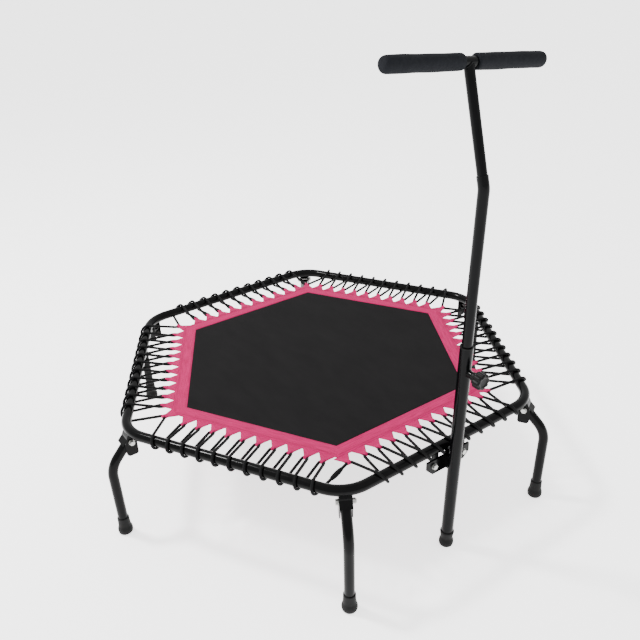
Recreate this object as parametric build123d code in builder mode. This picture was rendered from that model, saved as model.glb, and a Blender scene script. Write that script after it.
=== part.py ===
"""Mini trampoline: hexagonal tube frame, six fold-in legs, laced mat and a height-adjustable T-handle.

The handle stands at the -Y side. Z is up and the floor is z = 0. Millimetres.
Directions round the hexagon are degrees about its centre, 0 along +X, growing anticlockwise.
Corner k is at the anticlockwise end of side k, and side 1 is the handle's side.
"""
import os
from math import atan2, cos, degrees, hypot, pi, radians, sin, sqrt, tan

from build123d import *

# Frame
SIDE = 636.0                     # corner to corner of the frame's centreline, bends squared off
TUBE_R = 14.0
TUBE_WALL = 1.5
FRAME_Z = 323.0                  # height of the frame tube's centreline
CORNER_BEND = 105.0
APOTHEM = SIDE * sqrt(3) / 2
SLEEVE_LENGTH = 80.0

# Legs, in the upright plane through the centre and a corner: (distance from the centre, height)
LEG_R = 13.5
LEG_PIVOT = (625.6, 294.5)
LEG_KNEE = (686.0, 227.3)
LEG_FOOT = (681.2, 8.0)
LEG_BEND = 80.0
LEG_END_R = 14.2                 # rounding of the leg's top about its pivot
CAP_R = 20.5
CAP_HEIGHT = 54.0
CAP_FLOOR = 8.0                  # rubber under a tube's end
CAP_SHOULDER = 14.0              # top of the cap's widest part
CHEEK_GAP = 14.0                 # leg's middle to a bracket cheek
CHEEK = 2.5
CHEEK_INNER = 610.0              # a cheek's inner edge
CHEEK_BOTTOM = 252.0
CHEEK_OUTLINE = ((636, 252), (642, 259), (644, 286), (636, 311), (630, 323))
WEB_ENDS = (-24.0, 19.0)         # the web's ends, along the leg's upper run from its pivot

# Fasteners
BOLT_R = 4.0
RUNNING = 0.05                   # radial clearance of pivots and slides
HEX_FLATS = 13.0
HEAD_HEIGHT = 5.3
NUT_HEIGHT = 6.0
NUT_COLLAR_R = 5.5
NUT_COLLAR = 2.5
WASHER = 1.6
WASHER_R = 8.0

# Mat, webbing border and its pointed tabs, as distances from the centre square to a side
MAT_Z = 321.0
MAT_APOTHEM = 391.0
MAT_THICK = 2.5
BAND_APOTHEM = 431.0
BAND_THICK = 4.0
TAB_TIP = 461.0                  # where the lacing passes through a tab
CORNER_TAB_TIP = 522.0           # the same, along a corner's own direction
TAB_ROOT_WIDTH = 40.0
TAB_TIP_WIDTH = 12.0
TAB_LOOP_R = 5.8
TAB_BORE_R = 4.6
TAB_LOOP_WIDTH = 5.0
TAB_ROOT = 30.0                  # root of a tab, in from its tip
CORNER_TAB_ROOT = 24.0
TAB_NECK = 9.0
TAB_SHOULDER = 12.0

# Lacing
CORD_R = 3.5
LACE_PITCH = 45.4
TABS_PER_SIDE = 10
LACE_SHIFT = (17.0, 5.0, 2.0, -14.0, 2.0, 13.0)      # lacing pattern's middle on each side
CORNER_TAB_SHIFT = (0.0, 0.0, 0.0, 0.0, 0.0, 26.0)   # corner tab moved on to the next side
TURN_HALF = 6.5                  # half the cord's width as it turns in a tab
RUN_HALF = (8.5, 7.5, 7.5, 7.5, 7.5, 20.0)           # half the gap between a tab's runs at the frame tube
TURN_RADIUS = 6.0
WRAP_R = 18.0                    # circle round the frame tube that the cord's runs touch
WRAP_BEND = 17.0
CLAMP_R = 6.0
CLAMP_LENGTH = 36.0
CLAMP_AT = 40.0                  # from the corner tab the clamp's run ends at

# Handle, in the upright plane x = 0
POST_OUT = 574.0                 # post's foot from the centre
POST_LEAN = 2.15                 # degrees, top outwards
POST_R = 15.9
POST_LENGTH = 625.0
POST_FOOT_R = 19.0
HANDLE_R = 12.7
HANDLE_BOTTOM = 375.0            # along the post's line
HANDLE_BEND_AT = 1003.7
HANDLE_BEND = 40.0
HANDLE_END = 26.0                # past the bend's middle
STEM_R = 11.1
STEM_SPIGOT = 18.0
BAR_OUT = 547.0
BAR_Z = 1243.0
BAR_HALF = 212.0
BAR_TILT = 5.0                   # degrees, the +X end lower
GRIP_R = 17.0
GRIP_HALF = 220.0
GRIP_INNER = 18.5
BUSH_LENGTH = 30.0
GUIDE_LENGTH = 25.0

# Clamp knob, as distances out from the post's axis
KNOB_AT = 560.0                  # along the post's line
BOSS_R = 9.0
BOSS_END = 26.0
WASHER_START = 26.3
WASHER_END = 27.9
KNOB_HUB_R = 11.0
KNOB_HUB_END = 40.0
KNOB_END = 63.0
KNOB_R = 21.0
KNOB_LOBES = 8
STUD_START = 13.0

# Post bracket: two plates under the frame tube, bolted together
PLATE_HALF = 72.0
PLATE_BOTTOM = 258.0
PLATE_CLIP = 18.0
PLATE = 3.0
PLATE_OUT = 558.0                # inner face of the frame's plate
PLATE_BOLTS = ((-50.0, 282.0), (50.0, 282.0))
FRAME_PLATE_TOP = 317.0
POST_PLATE_TOP = 299.5
NOTCH_WIDTH = 24.0               # gaps in the frame's plate that the lacing passes through
SADDLE_WIDTH = 24.0
SADDLE_DEPTH = 22.0
SADDLE_BOTTOM = 262.0

# The origin is under the middle of the object's box, so the hexagon stands a little behind it
POST_TILT = radians(POST_LEAN)
KNOB_REACH = (POST_OUT + KNOB_AT * sin(POST_TILT) + KNOB_END * cos(POST_TILT)
              + KNOB_R * sin(POST_TILT))
LEG_SLOPE = (LEG_KNEE[0] - LEG_FOOT[0]) / (LEG_KNEE[1] - LEG_FOOT[1])
LEG_REACH = (LEG_FOOT[0] + (CAP_SHOULDER - LEG_FOOT[1]) * LEG_SLOPE) * sin(radians(60)) + CAP_R
CENTRE_Y = (KNOB_REACH - LEG_REACH) / 2
CENTRE = Vector(0, CENTRE_Y, 0)

os.makedirs("parts", exist_ok=True)


def save(piece, label):
    """Labels a finished piece and writes its file."""
    piece.part.label = label
    export_step(piece.part, f"parts/{label}.step")


def outward(angle):
    """Level unit vector that points away from the hexagon's centre."""
    return Vector(cos(radians(angle)), sin(radians(angle)), 0)


def along(angle):
    """Level unit vector square to outward, anticlockwise."""
    return Vector(-sin(radians(angle)), cos(radians(angle)), 0)


def side_angle(number):
    return -90 + 60 * (number - 1)


def corner_angle(number):
    return -60 + 60 * (number - 1)


def at(angle, distance, station=0.0, height=0.0):
    """Point given by its distance out along angle, its place along the side, and its height."""
    return CENTRE + outward(angle) * distance + along(angle) * station + Vector(0, 0, height)


def upright(angle, station=0.0):
    """Upright plane through the centre: local x is the distance out, local y the height."""
    return Plane(origin=at(angle, 0, station), x_dir=outward(angle), z_dir=-along(angle))


def ring(outer, inner):
    """Circular section of a tube."""
    Circle(outer)
    Circle(inner, mode=Mode.SUBTRACT)


# ---------------------------------------------------------------- frame

def frame_route(number):
    """Centreline of one frame segment: half a side, the corner's bend, half the next side."""
    angle = corner_angle(number)
    points = (
        at(angle - 30, APOTHEM, 0, FRAME_Z),
        at(angle, SIDE, 0, FRAME_Z),
        at(angle + 30, APOTHEM, 0, FRAME_Z),
    )
    return points


def make_frame_corner(number):
    with BuildPart() as corner:
        with BuildLine() as route:
            FilletPolyline(*frame_route(number), radius=CORNER_BEND)
        with BuildSketch(Plane(origin=route.line @ 0, z_dir=route.line % 0)):
            ring(TUBE_R, TUBE_R - TUBE_WALL)
        sweep()
    save(corner, f"frame_corner_{number}")
    return corner.part


def make_frame_sleeves():
    """Tubes inside the frame that join its segments at the middle of each side."""
    with BuildPart() as sleeves:
        for number in range(1, 7):
            middle = at(side_angle(number), APOTHEM, 0, FRAME_Z)
            with BuildSketch(Plane(origin=middle, z_dir=along(side_angle(number)))):
                ring(TUBE_R - TUBE_WALL - RUNNING, TUBE_R - 2 * TUBE_WALL)
            extrude(amount=SLEEVE_LENGTH / 2, both=True)
    save(sleeves, "frame_sleeves")


# ---------------------------------------------------------------- legs

def leg_point(station, offset):
    """Point in a leg's plane, by its place along the upper run from the pivot and its height above it."""
    run = (LEG_KNEE[0] - LEG_PIVOT[0], LEG_KNEE[1] - LEG_PIVOT[1])
    run_x, run_y = run[0] / hypot(*run), run[1] / hypot(*run)
    return (
        LEG_PIVOT[0] + run_x * station - run_y * offset,
        LEG_PIVOT[1] + run_y * station + run_x * offset,
    )


def make_leg_bracket(number, frame_tube):
    """Two cheeks beside the leg's top, joined by a web that the leg rests against."""
    angle = corner_angle(number)
    web_in = LEG_END_R + 0.3
    web_out = web_in + CHEEK
    low, high = WEB_ENDS
    with BuildPart() as bracket:
        with BuildSketch(upright(angle)) as cheek:
            with BuildLine():
                Polyline(
                    (CHEEK_INNER, FRAME_Z), (CHEEK_INNER, CHEEK_BOTTOM),
                    *CHEEK_OUTLINE, (CHEEK_INNER, FRAME_Z),
                )
            make_face()
            fillet(cheek.vertices().group_by(Axis.Z)[0], radius=7)
        extrude(amount=CHEEK_GAP + CHEEK, both=True)
        with BuildSketch(upright(angle)):
            with BuildLine():
                Polyline(
                    leg_point(low, web_in), leg_point(high, web_in), leg_point(high, web_out),
                    leg_point(low, web_out), leg_point(low, web_in),
                )
            make_face()
        extrude(amount=CHEEK_GAP + CHEEK, both=True)
        with BuildSketch(upright(angle)):
            with BuildLine():
                Polyline(
                    (560, 200), (720, 200), leg_point(90, web_in), leg_point(low, web_in),
                    (604, 310), (560, 310), (560, 200),
                )
            make_face()
        extrude(amount=CHEEK_GAP, both=True, mode=Mode.SUBTRACT)
        with BuildSketch(upright(angle)):
            with Locations(LEG_PIVOT):
                Circle(BOLT_R + RUNNING)
        extrude(amount=2 * CHEEK_GAP, both=True, mode=Mode.SUBTRACT)
        add(frame_tube, mode=Mode.SUBTRACT)
    save(bracket, f"leg_bracket_{number}")


def make_solid_frame(number):
    """Frame segment without its bore, for cutting brackets to the tube."""
    with BuildPart() as solid:
        with BuildLine() as route:
            FilletPolyline(*frame_route(number), radius=CORNER_BEND)
        with BuildSketch(Plane(origin=route.line @ 0, z_dir=route.line % 0)):
            Circle(TUBE_R)
        sweep()
    return solid.part


def make_leg(number):
    """Bent tube, its top rounded about the pivot so that it clears the frame as it folds."""
    angle = corner_angle(number)
    points = [at(angle, x, 0, z) for x, z in (leg_point(-LEG_R, 0), LEG_KNEE, LEG_FOOT)]
    with BuildPart() as leg:
        with BuildLine() as route:
            FilletPolyline(*points, radius=LEG_BEND)
        with BuildSketch(Plane(origin=route.line @ 0, z_dir=route.line % 0)):
            ring(LEG_R, LEG_R - TUBE_WALL)
        sweep()
        with BuildSketch(upright(angle)):
            with BuildLine():
                Polyline(
                    leg_point(-3, -20), leg_point(-3, 20), leg_point(-20, 20),
                    leg_point(-20, -20), leg_point(-3, -20),
                )
            make_face()
            with Locations(LEG_PIVOT):
                Circle(LEG_END_R, mode=Mode.SUBTRACT)
        extrude(amount=2 * LEG_R, both=True, mode=Mode.SUBTRACT)
        with BuildSketch(upright(angle)):
            with Locations(LEG_PIVOT):
                Circle(BOLT_R + RUNNING)
        extrude(amount=2 * LEG_R, both=True, mode=Mode.SUBTRACT)
    save(leg, f"leg_{number}")


def make_cap(label, bottom, direction, tube_r, cap_r, height):
    """Rubber cap on a tube's lower end, flat where it meets the floor."""
    plane = Plane(origin=bottom, x_dir=Vector(direction.Z, 0, -direction.X), z_dir=direction)
    profile_plane = Plane(origin=bottom, x_dir=plane.x_dir, z_dir=-plane.y_dir)
    with BuildPart() as cap:
        with BuildSketch(profile_plane):
            with BuildLine():
                Polyline(
                    (0, -4), (cap_r - 4, -4), (cap_r, 4), (cap_r, CAP_SHOULDER),
                    (cap_r - 2.5, 22), (tube_r + 2.6, height - 4),
                    (tube_r + 2.0, height), (tube_r, height), (tube_r, CAP_FLOOR),
                    (0, CAP_FLOOR), (0, -4),
                )
            make_face()
        revolve(axis=Axis(origin=bottom, direction=direction))
        split(bisect_by=Plane.XY, keep=Keep.TOP)
    save(cap, label)


def make_leg_cap(number):
    angle = corner_angle(number)
    top = at(angle, LEG_KNEE[0], 0, LEG_KNEE[1])
    foot = at(angle, LEG_FOOT[0], 0, LEG_FOOT[1])
    direction = (top - foot).normalized()
    floor_point = foot - direction * (LEG_FOOT[1] / direction.Z)
    make_cap(f"leg_foot_{number}", floor_point, direction, LEG_R, CAP_R, CAP_HEIGHT)


def pivot_plane(number, station):
    """Plane square to a leg's pivot, at a distance along the bolt."""
    angle = corner_angle(number)
    origin = at(angle, LEG_PIVOT[0], station, LEG_PIVOT[1])
    return Plane(origin=origin, x_dir=outward(angle), z_dir=along(angle))


def make_leg_fasteners():
    outer = CHEEK_GAP + CHEEK
    with BuildPart() as bolts:
        for number in range(1, 7):
            with BuildSketch(pivot_plane(number, -outer - WASHER)):
                RegularPolygon(HEX_FLATS / 2, 6, major_radius=False)
            extrude(amount=-HEAD_HEIGHT)
            with BuildSketch(pivot_plane(number, -outer - WASHER)):
                Circle(BOLT_R)
            extrude(amount=2 * outer + 2 * WASHER + NUT_HEIGHT)
    save(bolts, "leg_pivot_bolts")
    with BuildPart() as nuts:
        for number in range(1, 7):
            with BuildSketch(pivot_plane(number, outer + WASHER)):
                RegularPolygon(HEX_FLATS / 2, 6, major_radius=False)
                Circle(BOLT_R, mode=Mode.SUBTRACT)
            extrude(amount=NUT_HEIGHT)
            with BuildSketch(pivot_plane(number, outer + WASHER + NUT_HEIGHT)):
                Circle(NUT_COLLAR_R)
            extrude(amount=NUT_COLLAR)
    save(nuts, "leg_pivot_nuts")


def make_washers():
    """Every M8 washer: two on each leg pivot, two on each bracket bolt."""
    with BuildPart() as washers:
        for number in range(1, 7):
            for station in (-CHEEK_GAP - CHEEK - WASHER, CHEEK_GAP + CHEEK):
                with BuildSketch(pivot_plane(number, station)):
                    ring(WASHER_R, BOLT_R)
                extrude(amount=WASHER)
        for out in (PLATE_OUT + 2 * PLATE, PLATE_OUT - WASHER):
            with BuildSketch(front_plane(out)):
                with Locations(*PLATE_BOLTS):
                    ring(WASHER_R, BOLT_R)
            extrude(amount=WASHER)
    save(washers, "washers")


# ---------------------------------------------------------------- mat

def make_mat():
    with BuildPart() as mat:
        with BuildSketch(Plane(origin=(0, CENTRE_Y, MAT_Z - MAT_THICK / 2))):
            RegularPolygon(MAT_APOTHEM, 6, major_radius=False)
        extrude(amount=MAT_THICK)
    save(mat, "mat")


def make_border():
    with BuildPart() as border:
        with BuildSketch(Plane(origin=(0, CENTRE_Y, MAT_Z - BAND_THICK / 2))):
            RegularPolygon(BAND_APOTHEM, 6, major_radius=False)
            RegularPolygon(MAT_APOTHEM, 6, major_radius=False, mode=Mode.SUBTRACT)
        extrude(amount=BAND_THICK)
    save(border, "mat_border")


def tab_stations(side):
    """Places along a side of its tabs, without the corner ones."""
    first = LACE_SHIFT[side - 1] - (TABS_PER_SIDE - 1) / 2 * LACE_PITCH
    return [first + i * LACE_PITCH for i in range(TABS_PER_SIDE)]


def wrap_stations(side):
    """Places along a side where the lacing goes round the frame tube."""
    tabs = tab_stations(side)
    return [tabs[0] - LACE_PITCH / 2] + [tab + LACE_PITCH / 2 for tab in tabs]


def corner_tab(number):
    """(direction, distance out, station) of the tab at a corner, or just past it."""
    shift = CORNER_TAB_SHIFT[number - 1]
    if shift == 0:
        return corner_angle(number), CORNER_TAB_TIP, 0.0
    return corner_angle(number) + 30, TAB_TIP, shift - TAB_TIP * tan(radians(30))


def side_tabs(side):
    """All the tabs that belong to a side: its own, then the corner tab at its far end."""
    own = [(side_angle(side), TAB_TIP, station) for station in tab_stations(side)]
    return own + [corner_tab(side)]


def make_tabs(side):
    with BuildPart() as tabs:
        for angle, distance, station in side_tabs(side):
            tip = at(angle, distance, station, MAT_Z)
            across = along(angle)
            root = distance - (CORNER_TAB_ROOT if distance == CORNER_TAB_TIP else TAB_ROOT)
            neck, shoulder = distance - TAB_NECK, distance - TAB_SHOULDER
            flat = Plane(origin=at(angle, 0, station, MAT_Z - BAND_THICK / 2),
                         x_dir=outward(angle), z_dir=(0, 0, 1))
            with BuildSketch(flat):
                with BuildLine():
                    Polyline(
                        (root, -TAB_ROOT_WIDTH / 2), (shoulder, -TAB_TIP_WIDTH / 2),
                        (neck, -TAB_LOOP_WIDTH / 2), (distance, -TAB_LOOP_WIDTH / 2),
                        (distance, TAB_LOOP_WIDTH / 2), (neck, TAB_LOOP_WIDTH / 2),
                        (shoulder, TAB_TIP_WIDTH / 2), (root, TAB_ROOT_WIDTH / 2),
                        (root, -TAB_ROOT_WIDTH / 2),
                    )
                make_face()
            extrude(amount=BAND_THICK)
            loop_plane = Plane(origin=tip - across * (TAB_LOOP_WIDTH / 2), z_dir=across)
            with BuildSketch(loop_plane):
                Circle(TAB_LOOP_R)
            extrude(amount=TAB_LOOP_WIDTH)
            bore_plane = Plane(origin=tip - across * TAB_LOOP_WIDTH, z_dir=across)
            with BuildSketch(bore_plane):
                Circle(TAB_BORE_R)
            extrude(amount=2 * TAB_LOOP_WIDTH, mode=Mode.SUBTRACT)
    save(tabs, f"mat_tabs_{side}")


# ---------------------------------------------------------------- lacing

def wrap_points(side, station):
    """Corners of the cord's way round the frame tube: over the top, outside and underneath."""
    reach = APOTHEM - TAB_TIP
    rise = FRAME_Z - MAT_Z
    tilt = degrees(atan2(rise, reach))
    spread = degrees(atan2(WRAP_R, sqrt(reach**2 + rise**2 - WRAP_R**2)))
    turn = (180 + 2 * spread) / 3
    corner = WRAP_R / cos(radians(turn / 2))
    start = tilt + spread + 90 - turn / 2
    advance = LACE_PITCH / 2 - RUN_HALF[side - 1]
    points = []
    for i in (0, 1, 2):
        direction = radians(start - i * turn)
        points.append(at(
            side_angle(side),
            APOTHEM + corner * cos(direction),
            station + (i - 1) * advance,
            FRAME_Z + corner * sin(direction),
        ))
    return points


def turn_points(tab):
    """The two corners of the cord's turn through a tab, in the cord's order."""
    angle, distance, station = tab
    return [at(angle, distance, station + half, MAT_Z) for half in (-TURN_HALF, TURN_HALF)]


def make_lacing(side):
    """One side's length of the lacing, from the middle of one corner tab to the next."""
    previous = 6 if side == 1 else side - 1
    first = turn_points(corner_tab(previous))
    points = [(first[0] + first[1]) / 2, first[1]]
    bends = [TURN_RADIUS]
    tabs = side_tabs(side)
    for station, tab in zip(wrap_stations(side), tabs):
        points += wrap_points(side, station)
        bends += [WRAP_BEND] * 3
        turn = turn_points(tab)
        if tab is tabs[-1]:
            points += [turn[0], (turn[0] + turn[1]) / 2]
            bends += [TURN_RADIUS]
        else:
            points += turn
            bends += [TURN_RADIUS] * 2
    with BuildPart() as cord:
        with BuildLine() as route:
            FilletPolyline(*points, radius=bends)
        with BuildSketch(Plane(origin=route.line @ 0, z_dir=route.line % 0)):
            Circle(CORD_R)
        sweep()
    length = route.wire().length
    section = pi * CORD_R**2
    print(f"lacing {side}: {length:.0f} mm long, volume / (section x length) = "
          f"{cord.part.volume / (section * length):.4f}, bends {min(bends)} to {max(bends)} mm")
    save(cord, f"bungee_{side}")
    return length


def make_clamp():
    """Sleeve that joins the lacing's two ends, on the last run of side 6."""
    turn_start = turn_points(corner_tab(6))[0]
    wrap_end = wrap_points(6, wrap_stations(6)[-1])[2]
    direction = (wrap_end - turn_start).normalized()
    middle = turn_start + direction * CLAMP_AT
    with BuildPart() as clamp:
        with BuildSketch(Plane(origin=middle - direction * (CLAMP_LENGTH / 2), z_dir=direction)):
            ring(CLAMP_R, CORD_R)
        extrude(amount=CLAMP_LENGTH)
    save(clamp, "bungee_clamp")


# ---------------------------------------------------------------- handle

POST_AXIS = Vector(0, -sin(POST_TILT), cos(POST_TILT))
POST_FRONT = Vector(0, -cos(POST_TILT), -sin(POST_TILT))
POST_FLOOR = Vector(0, CENTRE_Y - POST_OUT, 0)
BEND_POINT = POST_FLOOR + POST_AXIS * HANDLE_BEND_AT
BAR_CENTRE = Vector(0, CENTRE_Y - BAR_OUT, BAR_Z)
STEM_AXIS = (BAR_CENTRE - BEND_POINT).normalized()
BAR_AXIS = Vector(cos(radians(BAR_TILT)), 0, -sin(radians(BAR_TILT)))


def post_plane(distance):
    """Plane square to the post's line, at a distance along it from the floor."""
    return Plane(origin=POST_FLOOR + POST_AXIS * distance, x_dir=(1, 0, 0), z_dir=POST_AXIS)


def knob_plane(distance):
    """Plane square to the clamp screw, at a distance out from the post's line."""
    origin = POST_FLOOR + POST_AXIS * KNOB_AT + POST_FRONT * distance
    return Plane(origin=origin, x_dir=(1, 0, 0), z_dir=POST_FRONT)


def make_post():
    with BuildPart() as tube:
        with BuildSketch(post_plane(CAP_FLOOR)):
            ring(POST_R, POST_R - TUBE_WALL)
        extrude(amount=POST_LENGTH - CAP_FLOOR)
        with BuildSketch(knob_plane(0)):
            Circle(BOLT_R + RUNNING)
        extrude(amount=30, mode=Mode.SUBTRACT)
    save(tube, "post_tube")
    make_cap("post_foot", POST_FLOOR, POST_AXIS, POST_R, POST_FOOT_R + 0.5, 50.0)
    with BuildPart() as bush:
        with BuildSketch(post_plane(POST_LENGTH - BUSH_LENGTH)):
            ring(POST_R - TUBE_WALL, HANDLE_R + RUNNING)
        extrude(amount=BUSH_LENGTH)
        with BuildSketch(post_plane(POST_LENGTH)):
            ring(POST_R + 0.6, HANDLE_R + RUNNING)
        extrude(amount=3)
    save(bush, "post_bushing")
    with BuildPart() as boss:
        with BuildSketch(knob_plane(8)):
            ring(BOSS_R, BOLT_R + RUNNING)
        extrude(amount=BOSS_END - 8)
        with BuildSketch(post_plane(KNOB_AT - 20)):
            Circle(POST_R)
        extrude(amount=40, mode=Mode.SUBTRACT)
    save(boss, "knob_boss")


def plate_outline():
    """Bracket plate seen from the front, lower corners clipped."""
    Polygon(
        (-PLATE_HALF, FRAME_Z), (-PLATE_HALF, PLATE_BOTTOM + PLATE_CLIP),
        (-PLATE_HALF + PLATE_CLIP, PLATE_BOTTOM), (PLATE_HALF - PLATE_CLIP, PLATE_BOTTOM),
        (PLATE_HALF, PLATE_BOTTOM + PLATE_CLIP), (PLATE_HALF, FRAME_Z), align=None,
    )
    with Locations(*PLATE_BOLTS):
        Circle(BOLT_R + RUNNING, mode=Mode.SUBTRACT)


def front_plane(out):
    """Upright plane parallel to the handle's side, facing away from the mat."""
    return Plane(origin=(0, CENTRE_Y - out, 0), x_dir=(1, 0, 0), z_dir=(0, -1, 0))


def side_tube():
    """Solid bar in the place of the handle side's frame tube."""
    with BuildPart() as bar:
        with BuildSketch(Plane(origin=(-100, CENTRE_Y - APOTHEM, FRAME_Z), z_dir=(1, 0, 0))):
            Circle(TUBE_R)
        extrude(amount=200)
    return bar.part


def make_post_bracket():
    tube = side_tube()
    with BuildPart() as frame_plate:
        with BuildSketch(front_plane(PLATE_OUT)):
            plate_outline()
        extrude(amount=PLATE)
        add(tube, mode=Mode.SUBTRACT)
        with BuildSketch(front_plane(PLATE_OUT)):
            for station in wrap_stations(1):
                middle = station + (LACE_PITCH / 2 - RUN_HALF[0]) / 2
                with Locations((middle, POST_PLATE_TOP + 20)):
                    Rectangle(NOTCH_WIDTH, 40)
        extrude(amount=PLATE, mode=Mode.SUBTRACT)
        split(bisect_by=Plane(origin=(0, 0, FRAME_PLATE_TOP)), keep=Keep.BOTTOM)
    save(frame_plate, "post_bracket")
    with BuildPart() as post_plate:
        with BuildSketch(front_plane(PLATE_OUT + PLATE)):
            plate_outline()
        extrude(amount=PLATE)
        with BuildSketch(front_plane(PLATE_OUT + PLATE)):
            with Locations((0, (SADDLE_BOTTOM + POST_PLATE_TOP) / 2)):
                Rectangle(SADDLE_WIDTH, POST_PLATE_TOP - SADDLE_BOTTOM)
        extrude(amount=SADDLE_DEPTH)
        with BuildSketch(post_plane(200)):
            Circle(POST_R)
        extrude(amount=150, mode=Mode.SUBTRACT)
        split(bisect_by=Plane(origin=(0, 0, POST_PLATE_TOP)), keep=Keep.BOTTOM)
    save(post_plate, "post_plate")
    outer = PLATE_OUT + 2 * PLATE
    with BuildPart() as bolts:
        with BuildSketch(front_plane(outer + WASHER)):
            with Locations(*PLATE_BOLTS):
                RegularPolygon(HEX_FLATS / 2, 6, major_radius=False)
        extrude(amount=HEAD_HEIGHT)
        with BuildSketch(front_plane(outer + WASHER)):
            with Locations(*PLATE_BOLTS):
                Circle(BOLT_R)
        extrude(amount=-(2 * PLATE + 2 * WASHER + 9))
    save(bolts, "post_bolts")
    with BuildPart() as nuts:
        with BuildSketch(front_plane(PLATE_OUT - WASHER)):
            with Locations(*PLATE_BOLTS):
                RegularPolygon(HEX_FLATS / 2, 6, major_radius=False)
            with Locations(*PLATE_BOLTS):
                Circle(BOLT_R, mode=Mode.SUBTRACT)
        extrude(amount=-NUT_HEIGHT)
    save(nuts, "post_nuts")


def make_handle():
    end = BEND_POINT + STEM_AXIS * HANDLE_END
    with BuildPart() as tube:
        with BuildLine() as route:
            FilletPolyline(
                POST_FLOOR + POST_AXIS * HANDLE_BOTTOM, BEND_POINT, end, radius=HANDLE_BEND,
            )
        with BuildSketch(Plane(origin=route.line @ 0, z_dir=route.line % 0)):
            ring(HANDLE_R, HANDLE_R - TUBE_WALL)
        sweep()
    save(tube, "handle_tube")
    with BuildPart() as guide:
        with BuildSketch(post_plane(HANDLE_BOTTOM - 3)):
            Circle(POST_R - TUBE_WALL - RUNNING)
        extrude(amount=3)
        with BuildSketch(post_plane(HANDLE_BOTTOM)):
            ring(POST_R - TUBE_WALL - RUNNING, HANDLE_R)
        extrude(amount=GUIDE_LENGTH)
    save(guide, "handle_guide")
    with BuildPart() as bar:
        with BuildSketch(Plane(origin=BAR_CENTRE, x_dir=(0, 1, 0), z_dir=BAR_AXIS)):
            ring(STEM_R, STEM_R - TUBE_WALL)
        extrude(amount=BAR_HALF, both=True)
    save(bar, "crossbar")
    stem_start = end - STEM_AXIS * STEM_SPIGOT
    with BuildPart() as stem:
        with BuildSketch(Plane(origin=stem_start, x_dir=(1, 0, 0), z_dir=STEM_AXIS)):
            ring(STEM_R, STEM_R - TUBE_WALL)
        extrude(amount=(BAR_CENTRE - stem_start).length)
        with BuildSketch(Plane(origin=BAR_CENTRE, x_dir=(0, 1, 0), z_dir=BAR_AXIS)):
            Circle(STEM_R)
        extrude(amount=40, both=True, mode=Mode.SUBTRACT)
    save(stem, "handle_stem")
    for label, sign in (("grip_left", -1), ("grip_right", 1)):
        make_grip(label, sign)


def make_grip(label, sign):
    """Foam sleeve over half the crossbar, closed and rounded at its outer end."""
    start = BAR_CENTRE + BAR_AXIS * (sign * GRIP_INNER)
    length = GRIP_HALF - GRIP_INNER
    with BuildPart() as grip:
        with BuildSketch(Plane(origin=start, x_dir=(0, 1, 0), z_dir=BAR_AXIS * sign)):
            Circle(GRIP_R)
        extrude(amount=length)
        ends = grip.edges().filter_by(GeomType.CIRCLE).sort_by(Axis.X)
        fillet(ends[-1] if sign > 0 else ends[0], radius=9)
        fillet(grip.edges().filter_by(GeomType.CIRCLE).sort_by(Axis.X)[0 if sign > 0 else -1],
               radius=4)
        with BuildSketch(Plane(origin=start, x_dir=(0, 1, 0), z_dir=BAR_AXIS * sign)):
            Circle(STEM_R)
        extrude(amount=BAR_HALF - GRIP_INNER, mode=Mode.SUBTRACT)
    save(grip, label)


def make_knob():
    with BuildPart() as washer:
        with BuildSketch(knob_plane(WASHER_START)):
            ring(BOSS_R - 0.5, BOLT_R + RUNNING)
        extrude(amount=WASHER_END - WASHER_START)
    save(washer, "clamp_washer")
    with BuildPart() as stud:
        with BuildSketch(knob_plane(STUD_START)):
            Circle(BOLT_R)
        extrude(amount=KNOB_END - 10 - STUD_START)
    save(stud, "knob_stud")
    knob_start = WASHER_END + 0.3
    with BuildPart() as knob:
        with BuildSketch(knob_plane(knob_start)):
            Circle(KNOB_HUB_R)
        extrude(amount=KNOB_HUB_END - knob_start)
        with BuildSketch(knob_plane(KNOB_HUB_END - 2)):
            Circle(KNOB_R)
            with PolarLocations(KNOB_R + 5, KNOB_LOBES, start_angle=180 / KNOB_LOBES):
                Circle(8, mode=Mode.SUBTRACT)
        extrude(amount=KNOB_END - KNOB_HUB_END + 2)
        with BuildSketch(knob_plane(knob_start)):
            Circle(BOLT_R)
        extrude(amount=KNOB_END - 10 - knob_start, mode=Mode.SUBTRACT)
    save(knob, "knob")


for k in range(1, 7):
    make_frame_corner(k)
    make_leg_bracket(k, make_solid_frame(k))
    make_leg(k)
    make_leg_cap(k)
make_frame_sleeves()
make_leg_fasteners()
make_washers()
make_mat()
make_border()
for k in range(1, 7):
    make_tabs(k)
total = sum(make_lacing(k) for k in range(1, 7))
print(f"lacing, all round: {total:.0f} mm")
make_clamp()
make_post()
make_post_bracket()
make_handle()
make_knob()
print(f"hexagon's centre at y = {CENTRE_Y:.3f}, box from y = {CENTRE_Y - KNOB_REACH:.3f}")
print("post axis", POST_AXIS, "front", POST_FRONT)
print("leg pivots", [at(corner_angle(k), LEG_PIVOT[0], 0, LEG_PIVOT[1]) for k in range(1, 7)])
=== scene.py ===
"""Looks of the mini trampoline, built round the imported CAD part."""
import math
import random

import bpy
import numpy as np
from mathutils import Matrix, Vector


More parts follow.
